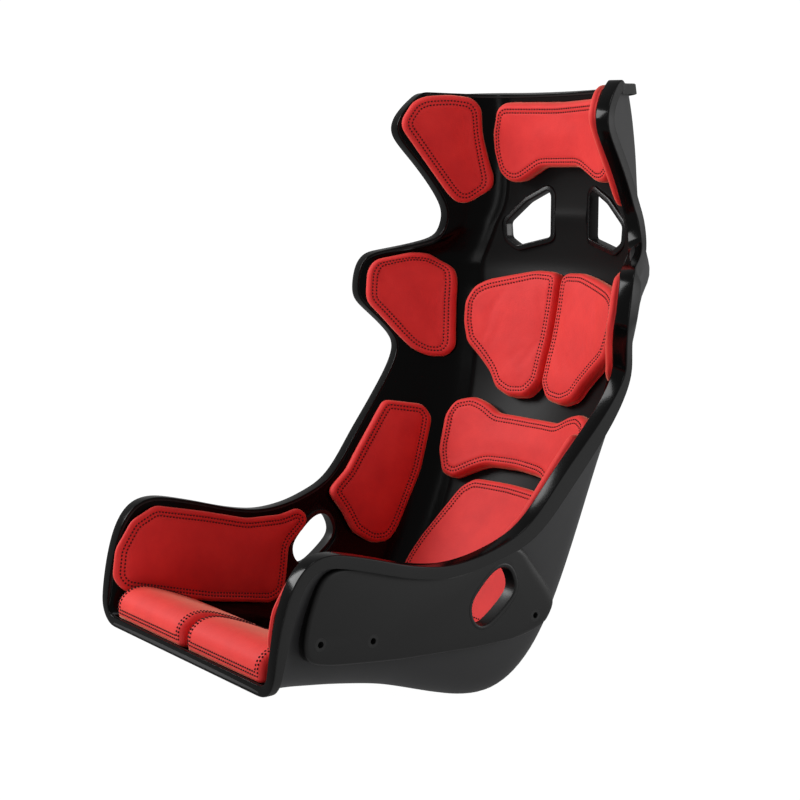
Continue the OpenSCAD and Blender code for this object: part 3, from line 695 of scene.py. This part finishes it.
cutters = opening_cutters()
inner = shell("inner_shell_skin", 0.0, INNER_SKIN, RIM_THICKNESS - RIM_OVERLAP)
carve(inner, *cutters)
finish_piece(inner, INNER, "inner_laminate", "inner_shell")
outer = shell("outer_shell_skin", INNER_SKIN + 0.02, INNER_SKIN + OUTER_SKIN, RIM_THICKNESS - RIM_OVERLAP)
carve(outer, *cutters)
finish_piece(outer, OUTER, "outer_laminate", "outer_shell")


# ---------------------------------------------------------------- rim
def rim_path():
    """Closed path round the edge: point, flange direction, skirt depth, flange width."""
    t = np.arange(0, LAST + 0.001, 0.25)
    k = row(t)
    wall, direction = surface(t, np.ones_like(t)), flange_direction(k)
    width = np.where(t < 38, RIM_WIDTH, RIM_WIDTH - (t - 38) * 0.75)
    left = np.column_stack([wall, direction, k[:, 8], width])
    mirror = np.array([-1, 1, 1, -1, 1, 1, 1, 1])
    u = np.linspace(0.95, -0.95, 39)
    lip_dir = unit(np.stack([np.sign(u) * np.clip((np.abs(u) - 0.45) / 0.25, 0, 1), 0 * u,
                             -np.clip((0.95 - np.abs(u)) / 0.15, 0.2, 1)], 1))
    lip = np.column_stack([surface(np.full_like(u, LAST), u), lip_dir, np.full_like(u, 12),
                           np.full_like(u, 13)])
    v = np.linspace(-0.93, 0.93, 39)
    top = np.column_stack([surface(np.zeros_like(v), v), normal(np.zeros_like(v), v), np.full_like(v, 14),
                           np.full_like(v, RIM_WIDTH)])
    loop = np.vstack([left, lip, left[::-1] * mirror, top])
    loop = resample(loop[np.linalg.norm(loop[:, :3] - np.roll(loop[:, :3], 1, axis=0), axis=1) > 0.2], 4.0)
    # resample measures all eight columns, so even it out again by position alone
    closed = np.vstack([loop, loop[:1]])
    s = run_length(closed[:, :3])
    at = np.linspace(0, s[-1], int(s[-1] / RIM_STEP), endpoint=False)
    return np.stack([np.interp(at, s, closed[:, j]) for j in range(8)], 1)


def rim():
    path = rim_path()
    p = ease(path[:, :3], 1.4)
    direction = unit(ease(path[:, 3:6], 2.5))
    skirt, width = ease(path[:, 6:7], 3)[:, 0], ease(path[:, 7:8], 3)[:, 0]
    tangent = unit(np.roll(p, -1, axis=0) - np.roll(p, 1, axis=0))
    out = unit(direction - tangent * np.sum(direction * tangent, -1, keepdims=True))
    down = np.cross(out, tangent)
    th = RIM_THICKNESS
    rings = []
    for i in range(len(p)):
        w, h = width[i], skirt[i]
        corners = [(-0.5, 0), (w, 0), (w, h), (w - 4, h), (w - 4, th), (-0.5, th)]
        radius = [1.2, 1.9, 1.3, 1.4, 2.0, 0.6]
        prof = []
        for j, (c, r) in enumerate(zip(corners, radius)):
            a, b = np.array(corners[j - 1], float), np.array(corners[(j + 1) % 6], float)
            c = np.array(c, float)
            s = c + unit(a - c) * min(r, 0.45 * np.linalg.norm(a - c))
            e = c + unit(b - c) * min(r, 0.45 * np.linalg.norm(b - c))
            for f in (0, 0.25, 0.5, 0.75, 1):
                prof.append(s * (1 - f) ** 2 + c * 2 * f * (1 - f) + e * f * f)
        prof = np.array(prof)
        rings.append(p[i] + prof[:, :1] * out[i] + prof[:, 1:] * down[i])
    obj = make("rim_roll", np.vstack(rings), tube_faces(len(rings), len(rings[0])), sharp=50)
    fix_normals(obj)
    skirt_share = np.concatenate([np.zeros(5), [0, 0.1, 0.4, 0.8, 1], np.ones(20)])
    mark_points(obj, "skirt", np.tile(skirt_share, len(rings)))
    finish_piece(obj, RIM, "rim", "rim_band")


rim()


# ---------------------------------------------------------------- side panels and trims
def mark_painted_shade(obj, n, total):
    """Marks the points of the first two levels of total, n points each: the bore of an opening, or the side
    wall of a panel, where the panel material paints shade.
    """
    mark_points(obj, "edge", np.repeat(np.arange(total) < 2, n))


def stacked(name, outline, place, levels, widen):
    """A solid of rings: (outward push of the outline, height) for each level; widen scales the push."""
    n = len(outline)
    wide = widen(outline)[:, None]
    pts = [place(np.column_stack([push_out(outline, d * wide), np.full(n, h)])) for d, h in levels]
    faces = []
    for k in range(len(levels) - 1):
        for i in range(n):
            faces.append((k * n + i, k * n + (i + 1) % n, (k + 1) * n + (i + 1) % n, (k + 1) * n + i))
    faces.append(tuple(range(n))[::-1])
    faces.append(tuple((len(levels) - 1) * n + i for i in range(n)))
    obj = make(name, np.vstack(pts), faces, sharp=32)
    fix_normals(obj)
    mark_painted_shade(obj, n, len(levels))
    return obj


def ring(name, outline, place, levels):
    """A closed band round an outline: the levels run round its cross section, bore first."""
    n, m = len(outline), len(levels)
    pts = [place(np.column_stack([push_out(outline, d), np.full(n, h)])) for d, h in levels]
    faces = []
    for k in range(m):
        for i in range(n):
            faces.append((k * n + i, k * n + (i + 1) % n, (k + 1) % m * n + (i + 1) % n, (k + 1) % m * n + i))
    obj = make(name, np.vstack(pts), faces, sharp=50)
    fix_normals(obj)
    mark_painted_shade(obj, n, m)
    return obj


def shell_core():
    """Everything inside the outer skin, as a cutter."""
    t = np.concatenate([[0], stations()[1:-1], [LAST]])
    u = columns()
    tt, uu = np.meshgrid(t, u, indexing="ij")
    a = skin_points(tt, uu, -40, -20)
    b = skin_points(tt, uu, INNER_SKIN + OUTER_SKIN + 0.05, -20)
    points, faces = grid_solid(a, b)
    obj = make("core", points, faces, smooth=False)
    fix_normals(obj)
    return obj


def bore_cutter(side, y, z, r, depth):
    a = np.linspace(0, 2 * math.pi, 48, endpoint=False)
    circle = np.stack([y + r * np.cos(a), z + r * np.sin(a)], 1)
    return prism("bore", circle, side_view(side), MOUNT_WIDTH / 2 - depth, MOUNT_WIDTH / 2 + 20)


core = shell_core()
panel_outline = ccw(resample(rounded(PANEL, 22), 4.0))
face = MOUNT_WIDTH / 2
for side, word in ((1, "left"), (-1, "right")):
    panel = stacked(f"mount_panel_{word}", panel_outline, side_view(side),
                    [(0, 170), (0, face - 5), (-0.5, face - 3), (-1.3, face - 1.5), (-2.5, face - 0.5),
                     (-3.8, face - 0.1), (-4.8, face)],
                    widen=lambda q: 1 + 2.2 * np.clip((q[:, 0] - 20) / 40, 0, 1))
    bores = [bore_cutter(side, y, z, INSERT_R + 0.05, INSERT_LENGTH) for y, z in INSERTS]
    hole = prism("hole", push_out(slot_outline(), SLOT_HOLE), side_view(side), 120, 240)
    carve(panel, core, hole, *bores)
    finish_piece(panel, PANEL_BLACK, "mount_panel", f"side_mount_panel_{word}")
    for c in [hole, *bores]:
        bpy.data.objects.remove(c)
    lap = ring(f"lap_slot_trim_{word}", slot_outline(), side_view(side),
               [(0, 190), (0, face - 1.6), (0.5, face - 0.4), (1.6, face + 0.25), (3.4, face + 0.3),
                (5.2, face + 0.1), (5.8, face - 0.6), (5.8, 190)])
    finish_piece(lap, PANEL_BLACK, "slot_trim", f"lap_belt_slot_trim_{word}")
    bezel = ring(f"harness_bezel_{word}", harness_outline(), harness_view(side),
                 [(0, -12), (0, 3.3), (0.4, 4.1), (1.4, 4.5), (3.0, 4.1), (6.6, 3.9), (7.8, 3.4), (8.6, 2.0),
                  (9.0, -1), (9.0, -12)])
    finish_piece(bezel, TRIM, "slot_trim", f"harness_slot_trim_{word}")
for c in [core, *cutters]:
    bpy.data.objects.remove(c)


# ---------------------------------------------------------------- pads
def pad_mesh(kind, outline, thickness):
    """A crowned pad on the shell: points, faces, its pinned points and its two stitch loops."""
    edge = ccw(resample(rounded(outline, 8.5), 3.6))
    rows = [0.0, 0.8, 2.2, 4.0, 5.8, 7.0, STITCH_ROWS[0], 9.2, 11.8, STITCH_ROWS[1], 14.2, 16.6, 20.0]
    points, edges, marks = [], [], []
    for d in rows:
        loop = edge if d == 0 else inset(edge, d)
        start = len(points)
        points.extend(Vector(q) for q in loop)
        edges.extend((start + i, start + (i + 1) % len(loop)) for i in range(len(loop)))
        marks.extend([d] * len(loop))
    lo, hi = edge.min(0), edge.max(0)
    gx, gy = np.meshgrid(np.arange(lo[0], hi[0], 6.5), np.arange(lo[1], hi[1], 5.6))
    gx = gx + (np.arange(gx.shape[0]) % 2)[:, None] * 3.2
    grid = np.stack([gx.ravel(), gy.ravel()], 1)
    grid = grid[inside(grid, edge)]
    grid = grid[distance_to(grid, edge) > rows[-1] + 2.5]
    points.extend(Vector(q) for q in grid)
    marks.extend([-1] * len(grid))
    v2, _, f2, orig, _, _ = delaunay_2d_cdt(points, edges, [], 1, 1e-4)
    q = np.array([tuple(v) for v in v2])
    tri = [tuple(f) for f in f2]
    mark = np.array([marks[o[0]] if o else -1 for o in orig])
    d = distance_to(q, edge)
    d[mark == 0] = 0
    x = np.clip(d / PAD_ROLL, 0, 1)
    h = thickness * (0.5 + 0.5 * np.sqrt(1 - (1 - x) ** 2))
    middle = np.clip((d - STITCH_ROWS[1]) / max(12.0, d.max() - STITCH_ROWS[1]), 0, 1)
    h = h - 1.0 + PAD_CROWN * np.sin(middle * math.pi / 2)
    for s in STITCH_ROWS:
        h = h - STITCH_DIP * np.exp(-0.5 * (d - s) ** 2)
    rim_of = [i for i in range(len(q)) if mark[i] == 0]
    order = sorted(rim_of, key=lambda i: np.argmin(np.linalg.norm(edge - q[i], axis=1)))
    n = len(q)
    t, u = locate(kind, q)
    base, up = surface(t, u), -normal(t, u)
    top = base + up * (PAD_GAP + h)[:, None]
    tangent = unit(np.roll(q[order], -1, axis=0) - np.roll(q[order], 1, axis=0))
    inward = np.stack([-tangent[:, 1], tangent[:, 0]], 1)

    def at(qs, heights):
        tt, uu = locate(kind, qs)
        return surface(tt, uu) - normal(tt, uu) * np.asarray(heights)[..., None]

    waist = at(q[order] + inward * 0.5, np.full(len(order), PAD_GAP + thickness * 0.24))
    low_q = q.copy()
    low_q[order] = q[order] + inward * 2.0
    low = at(low_q, np.full(n, PAD_GAP))
    pts = np.vstack([top, waist, low])
    m = len(order)
    faces = tri + [tuple(n + m + i for i in f[::-1]) for f in tri]
    for i in range(m):
        j = (i + 1) % m
        faces.append((order[j], order[i], n + i, n + j))
        faces.append((n + j, n + i, n + m + order[i], n + m + order[j]))
    pinned = [n + m + i for i in range(n)] + list(range(n, n + m))
    pinned += [i for i in range(n) if mark[i] in STITCH_ROWS]
    loops = []
    for s in STITCH_ROWS:
        idx = [i for i in range(n) if mark[i] == s]
        ring_q = inset(edge, s)
        idx.sort(key=lambda i: np.argmin(np.linalg.norm(ring_q - q[i], axis=1)))
        loops.append(idx)
    return pts, faces, pinned, loops, up


def leg_profile():
    """Side profile of a leg cushion: a rounded front roll that falls away to the rear."""
    front, rear, height, radius = -341.0, -218.0, LEG_THICKNESS, 40.0
    prof = [(front + 1.2 * math.exp(-z / 4), z) for z in (0.0, 4, 8, 11, 13)]
    rise = height - 13
    for a in np.linspace(0, math.pi / 2, 17)[1:]:
        prof.append((front + radius * (1 - math.cos(a)), height - rise + rise * math.sin(a)))
    slope_end = (rear - 12, height - 15)
    for f in np.linspace(0, 1, 12)[1:]:
        prof.append((front + radius + (slope_end[0] - front - radius) * f, height - 15 * f ** 1.6))
    for a in np.linspace(0, math.pi / 2, 6)[1:]:
        prof.append((slope_end[0] + 12 * math.sin(a), slope_end[1] - 12 * (1 - math.cos(a))))
    prof += [(rear, 10), (rear - 1, 4), (rear - 3, 0)]
    return np.array(prof)


STITCHES = []


def stitch_run(points, lift, closed=True):
    """Short threads laid along a polyline of surface points; lift is the surface's outward direction."""
    q = np.hstack([points, lift])
    run = np.vstack([q, q[:1]]) if closed else q
    s = run_length(run[:, :3])
    count = max(4, int(s[-1] / STITCH_PITCH))
    pitch = s[-1] / count

    def where(x):
        return np.array([np.interp(x, s, run[:, j]) for j in range(6)])
    for i in range(count):
        a = i * pitch + (pitch - STITCH_LENGTH) / 2
        STITCHES.append([where(a + STITCH_LENGTH * f) for f in (0, 0.22, 0.5, 0.78, 1)])


def stitch_object():
    """All the threads as one mesh of small rounded rods that dip at both ends."""
    pts, faces = [], []
    sides = 6
    swell = (0.35, 0.95, 1.0, 0.95, 0.35)
    dip = (-0.35, 0.12, 0.25, 0.12, -0.35)
    for samples in STITCHES:
        p = np.array([s[:3] for s in samples])
        up = unit(np.array([s[3:] for s in samples]))
        along = unit(p[-1] - p[0])
        across = unit(np.cross(up, along))
        base = len(pts)
        for k in range(5):
            c = p[k] + up[k] * (dip[k] + 0.15)
            for j in range(sides):
                a = 2 * math.pi * j / sides
                pts.append(c + STITCH_R * swell[k] * (math.cos(a) * across[k] + math.sin(a) * up[k]))
        for k in range(4):
            for j in range(sides):
                j2 = (j + 1) % sides
                faces.append((base + k * sides + j, base + k * sides + j2,
                              base + (k + 1) * sides + j2, base + (k + 1) * sides + j))
        faces.append(tuple(base + j for j in range(sides))[::-1])
        faces.append(tuple(base + 4 * sides + j for j in range(sides)))
    obj = make("pad_stitching", np.array(pts), faces, sharp=0)
    fix_normals(obj)
    finish_piece(obj, THREAD, "pad_leather")


def inflate(obj, pinned):
    """Cloth under gentle pressure, with its seams held, gives the leather its puffed shape."""
    before = np.empty(len(obj.data.vertices) * 3)
    obj.data.vertices.foreach_get("co", before)
    before = before.reshape(-1, 3)
    group = obj.vertex_groups.new(name="held")
    group.add(pinned, 1.0, "REPLACE")
    m = obj.modifiers.new("cloth", "CLOTH")
    s = m.settings
    s.quality = 5
    s.mass = 0.35
    s.tension_stiffness = s.compression_stiffness = 18
    s.shear_stiffness = 8
    s.bending_stiffness = 1.2
    s.use_pressure = True
    s.uniform_pressure_force = PUFF_PRESSURE
    s.vertex_group_mass = "held"
    s.effector_weights.gravity = 0
    m.collision_settings.use_collision = False
    m.point_cache.frame_start, m.point_cache.frame_end = 1, PUFF_FRAMES
    scene = bpy.context.scene
    for f in range(1, PUFF_FRAMES + 1):
        scene.frame_set(f)
    dg = bpy.context.evaluated_depsgraph_get()
    ev = obj.evaluated_get(dg)
    after = np.empty(len(before) * 3)
    ev.data.vertices.foreach_get("co", after)
    after = after.reshape(-1, 3)
    obj.modifiers.clear()
    obj.vertex_groups.clear()
    scene.frame_set(1)
    move = after - before
    length = np.linalg.norm(move, axis=1, keepdims=True)
    limit = PUFF_LIMIT * MM
    move = move * np.where(length > 1e-9, limit * np.tanh(length / limit) / np.maximum(length, 1e-9), 0)
    obj.data.vertices.foreach_set("co", (before + move).ravel())
    obj.data.update()


def pad(kind, outline, side, thickness, node):
    """One leather pad in place of a CAD pad, with its stitches."""
    pts, faces, pinned, loops, up = pad_mesh(kind, outline, thickness)
    if side < 0:
        pts, up = pts * [-1, 1, 1], up * [-1, 1, 1]
    obj = make(f"{node}_leather", pts, faces, sharp=0)
    fix_normals(obj)
    inflate(obj, pinned)
    co = np.array([tuple(v.co) for v in obj.data.vertices]) / MM
    for idx in loops:
        if len(idx) > 8:
            stitch_run(co[idx], up[idx])
    finish_piece(obj, LEATHER, "pad_leather", node)


WALL_PADS = [("head_side_pad", HEAD_SIDE, WING_PAD), ("shoulder_pad", SHOULDER, WING_PAD),
             ("hip_pad", HIP, HIP_PAD), ("thigh_pad", THIGH, THIGH_PAD)]
for side, word in ((1, "left"), (-1, "right")):
    for name, outline, thick in WALL_PADS:
        pad("wall", outline, side, thick, f"{name}_{word}")
    pad("back", UPPER, side, PAD_THICKNESS, f"upper_back_pad_{word}")
pad("back", HEAD_REAR, 1, PAD_THICKNESS + HEAD_EXTRA, "head_rear_pad")
pad("back", LUMBAR, 1, PAD_THICKNESS, "lumbar_pad")
pad("back", LOWER, 1, PAD_THICKNESS, "lower_back_pad")


def leg_cushion(side, word):
    """Grid of profile rings across the cushion; the rings draw in at both ends to round the sides."""
    prof = leg_profile()
    x0, x1, round_r = 6.0, 175.0, 8.0
    steps = [(0.0, 1.0)]
    for a in np.linspace(0, math.pi / 2, 6)[1:]:
        steps.append((round_r * (1 - math.cos(a)), 1 - math.sin(a)))
    inner_x = np.linspace(round_r + 2, (x1 - x0) - round_r - 2, 30)
    xs = steps + [(x, 0.0) for x in inner_x] + [(x1 - x0 - d, c) for d, c in steps[::-1]]
    tang = unit(np.gradient(prof, axis=0))
    inward = np.stack([tang[:, 1], -tang[:, 0]], 1)
    flat = prof[:, 1] < 1.0
    rings = []
    for x, c in xs:
        p = prof + inward * (round_r * c)
        p[flat, 1] = 0
        xx = x0 + x
        qs = np.stack([np.full(len(p), xx), p[:, 0]], 1)
        t, u = locate("pan", qs)
        floor = surface(t, u)
        t0, u0 = locate("pan", np.stack([np.full(len(p), 60.0), p[:, 0]], 1))
        level = surface(t0, u0)[:, 2]
        z = np.maximum(level + PAD_GAP + p[:, 1], floor[:, 2] + PAD_GAP)
        rings.append(np.stack([np.full(len(p), side * xx), p[:, 0] + PLAN_SHIFT, z], 1))
    n, m = len(rings), len(prof)
    pts = np.vstack(rings)
    faces = []
    for i in range(n - 1):
        for j in range(m):
            faces.append((i * m + j, (i + 1) * m + j, (i + 1) * m + (j + 1) % m, i * m + (j + 1) % m))
    faces.append(tuple(range(m)))
    faces.append(tuple((n - 1) * m + j for j in range(m))[::-1])
    obj = make(f"leg_cushion_{word}_leather", pts, faces, sharp=0)
    fix_normals(obj)
    grid = np.array(rings)
    out3 = np.stack([np.zeros(m), -inward[:, 0], -inward[:, 1]], 1)
    arc = run_length(prof)
    cols = grid[:, 0, 0] * side
    top_end = arc[-9]

    def at(x, s):
        """Point on the cushion x across and s along its profile, with the direction out of it."""
        j = np.interp(s, arc, np.arange(m))
        a, f = int(j), j - int(j)
        b = min(a + 1, m - 1)
        line = grid[:, a] * (1 - f) + grid[:, b] * f
        y, z = np.interp(x, cols, line[:, 1]), np.interp(x, cols, line[:, 2])
        return np.concatenate([[side * x, y, z], unit(out3[a] * (1 - f) + out3[b] * f)])

    for inx, low in ((6.0, 7.0), (10.4, 11.5)):     # distance in from the sides and from the front edge
        path = [at(x0 + inx, s) for s in np.arange(top_end, low, -3)]
        path += [at(x, low) for x in np.arange(x0 + inx, x1 - inx, 3)]
        path += [at(x1 - inx, s) for s in np.arange(low, top_end, 3)]
        path = np.array(path)
        stitch_run(path[:, :3], path[:, 3:], closed=False)
    finish_piece(obj, LEATHER, "pad_leather", f"leg_cushion_{word}")


leg_cushion(1, "left")
leg_cushion(-1, "right")
stitch_object()

# ---------------------------------------------------------------- CAD nodes that stay
for name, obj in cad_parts.items():
    if obj.hide_render:
        continue
    if name == "mount_inserts":
        look = STEEL
    elif name == "hook_patches":
        look = HOOK
    elif "backing" in name:
        look = LOOP
    else:
        look = TRIM
    for s in obj.material_slots:
        s.material = look

# ---------------------------------------------------------------- camera, floor, light
scene = bpy.context.scene
AZ, EL, DIST = math.radians(52), math.radians(8.3), 2.083
target = Vector((0, 0.008, 0.379))
forward = Vector((-math.sin(AZ) * math.cos(EL), math.cos(AZ) * math.cos(EL), -math.sin(EL)))
cam = bpy.data.objects.new("camera", bpy.data.cameras.new("camera"))
scene.collection.objects.link(cam)
cam.location = target - forward * DIST
cam.rotation_mode = "QUATERNION"
cam.rotation_quaternion = forward.to_track_quat("-Z", "Y")
cam.data.lens, cam.data.sensor_width = 69.525, 36.0
cam.data.clip_end = 60
scene.camera = cam


def glowing(name, base, strength):
    """A matt surface that shines by itself, for the studio round the seat."""
    m, _, _, b = nodes_of(name)
    b.inputs["Base Color"].default_value = (base, base, base, 1)
    b.inputs["Roughness"].default_value = 0.95
    b.inputs["Specular IOR Level"].default_value = 0.0
    b.inputs["Emission Color"].default_value = (1, 1, 1, 1)
    b.inputs["Emission Strength"].default_value = strength
    return m


floor = make("studio_floor", np.array([(-9000, -9000, -1), (9000, -9000, -1), (9000, 9000, -1),
                                       (-9000, 9000, -1)]), [(0, 1, 2, 3)], smooth=False)
floor.data.materials.append(glowing("pale_floor", 0.05, 1.0))
floor.visible_glossy = False
bpy.ops.mesh.primitive_uv_sphere_add(segments=48, ring_count=24, radius=11)
dome = bpy.context.active_object
dome.name = "white_backdrop"
dome.data.materials.append(glowing("backdrop", 0.0, 1.05))
dome.visible_diffuse = dome.visible_glossy = dome.visible_shadow = dome.visible_transmission = False


def area(name, where, size, power):
    """A rectangular light that faces the seat."""
    data = bpy.data.lights.new(name, "AREA")
    data.shape, data.size, data.size_y = "RECTANGLE", size[0], size[1]
    data.energy = power
    obj = bpy.data.objects.new(name, data)
    scene.collection.objects.link(obj)
    obj.location = where
    obj.rotation_mode = "QUATERNION"
    obj.rotation_quaternion = (target - Vector(where)).to_track_quat("-Z", "Y")


area("key", (-1.7, -1.7, 1.9), (1.3, 1.3), 68)
area("top", (0.2, -0.4, 2.8), (0.8, 0.8), 10)
area("back", (1.7, 2.1, 0.8), (1.2, 1.2), 26)
area("strip", (0.35, -2.6, 0.55), (0.22, 1.5), 6)
world = bpy.data.worlds.new("studio")
world.use_nodes = True
world.node_tree.nodes["Background"].inputs["Color"].default_value = (1, 1, 1, 1)
world.node_tree.nodes["Background"].inputs["Strength"].default_value = 0.30
scene.world = world
scene.view_settings.view_transform = "Standard"
